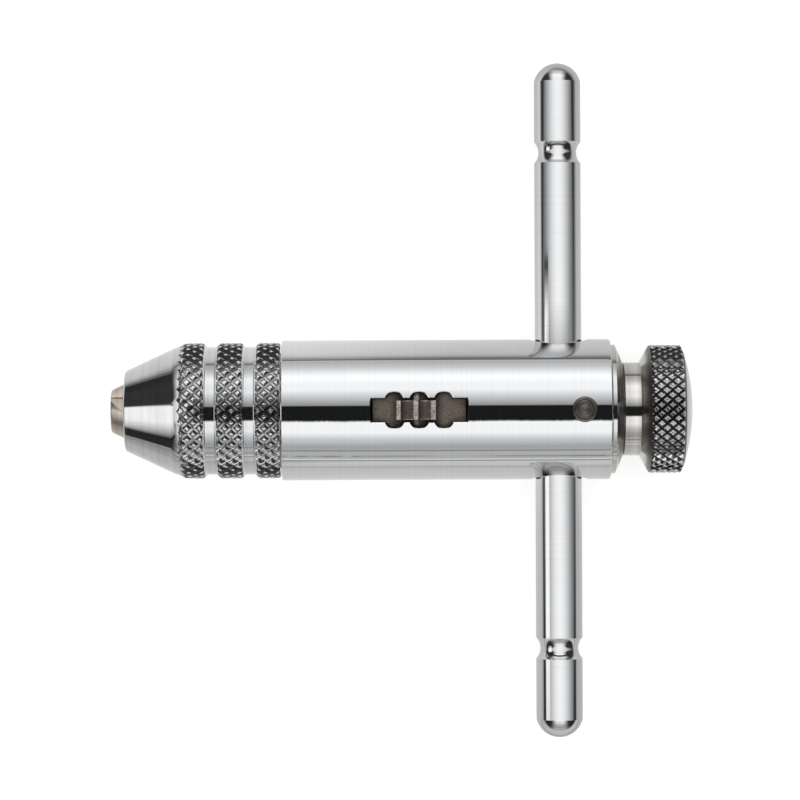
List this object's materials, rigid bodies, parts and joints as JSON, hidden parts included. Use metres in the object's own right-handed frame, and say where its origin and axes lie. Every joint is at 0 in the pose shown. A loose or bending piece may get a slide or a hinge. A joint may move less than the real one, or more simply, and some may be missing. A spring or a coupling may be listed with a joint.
{
  "type": "ratchet tap wrench",
  "caption": "Ratchet tap wrench: two-jaw screw chuck, barrel housing with a sliding ratchet selector, sliding tommy bar with domed ends, and a clamping knob.",
  "frame": {"origin": "on the tool axis, in the plane of the jaws' front faces", "axes": "+X along the tool axis from the chuck's nose to the clamping knob, +Y along the sliding bar, +Z out of the side with the selector window; it lies as pictured, with that side up"},
  "size_m": [0.085, 0.0987, 0.0211],
  "materials": {
    "housing_chrome": "bright chrome plate on turned steel",
    "sleeve_chrome": "chrome plate, knurled bands and a turned cone",
    "bar_chrome": "bright chrome plate",
    "knob_chrome": "chrome plate over fine turning marks, knurled grip",
    "jaw_steel": "hardened steel, warm and satin",
    "spindle_steel": "machined and oiled",
    "selector_steel": "sintered, bronze-brown and matt",
    "dark_steel": "blackened and satin",
    "spring_steel": "drawn wire"
  },
  "bodies": {
    "housing": {"housing": "housing_chrome", "rear_bush": "housing_chrome", "thrust_washer": "dark_steel", "detent_ball": "dark_steel", "detent_spring": "spring_steel", "detent_plug": "dark_steel"},
    "spindle": {"spindle": "spindle_steel", "retaining_ring": "dark_steel", "jaw_spring_near": "spring_steel", "jaw_spring_far": "spring_steel"},
    "sleeve_stop": {"sleeve_stop_ring": "dark_steel"},
    "chuck_sleeve": {"chuck_sleeve": "sleeve_chrome"},
    "jaw_upper": {"jaw_upper": "jaw_steel"},
    "jaw_lower": {"jaw_lower": "jaw_steel"},
    "selector": {"selector": "selector_steel", "pawl_spring": "spring_steel"},
    "pawl": {"pawl": "dark_steel"},
    "tommy_bar": {"tommy_bar": "bar_chrome"},
    "clamp_pad": {"clamp_pad": "dark_steel"},
    "clamp_knob": {"clamp_knob": "knob_chrome"}
  },
  "joints": [
    {"name": "spindle_turn", "type": "hinge", "parent": "housing", "child": "spindle", "pos_m": [0, 0, 0], "axis": [1, 0, 0], "continuous": true},
    {"name": "sleeve_travel", "type": "slide", "parent": "spindle", "child": "sleeve_stop", "axis": [-1, 0, 0], "range_m": [0, 0.0047]},
    {"name": "sleeve_turn", "type": "hinge", "parent": "sleeve_stop", "child": "chuck_sleeve", "pos_m": [0, 0, 0], "axis": [-1, 0, 0], "range_deg": [0, 1128.1]},
    {"name": "jaw_upper_slide", "type": "slide", "parent": "spindle", "child": "jaw_upper", "axis": [0, 0.788, -0.6157], "range_m": [0, 0.00219]},
    {"name": "jaw_lower_slide", "type": "slide", "parent": "spindle", "child": "jaw_lower", "axis": [0, -0.788, 0.6157], "range_m": [0, 0.00219]},
    {"name": "selector_slide", "type": "slide", "parent": "housing", "child": "selector", "axis": [1, 0, 0], "range_m": [-0.00316, 0.00396]},
    {"name": "pawl_drop", "type": "slide", "parent": "selector", "child": "pawl", "axis": [0, 0, -1], "range_m": [0, 0.00085], "deforming": ["pawl_spring"]},
    {"name": "bar_slide", "type": "slide", "parent": "housing", "child": "tommy_bar", "axis": [0, 1, 0], "range_m": [-0.03757, 0.03493]},
    {"name": "clamp_travel", "type": "slide", "parent": "housing", "child": "clamp_pad", "axis": [1, 0, 0], "range_m": [0, 0.0015]},
    {"name": "clamp_turn", "type": "hinge", "parent": "clamp_pad", "child": "clamp_knob", "pos_m": [0, 0, 0], "axis": [1, 0, 0], "range_deg": [0, 540.1]}
  ],
  "couplings": [
    {"joint": "sleeve_turn", "follows": "sleeve_travel", "rad_per_m": 4188.8},
    {"joint": "jaw_upper_slide", "follows": "sleeve_travel", "ratio": 0.46631},
    {"joint": "jaw_lower_slide", "follows": "sleeve_travel", "ratio": 0.46631},
    {"joint": "clamp_turn", "follows": "clamp_travel", "rad_per_m": 6283.2}
  ]
}
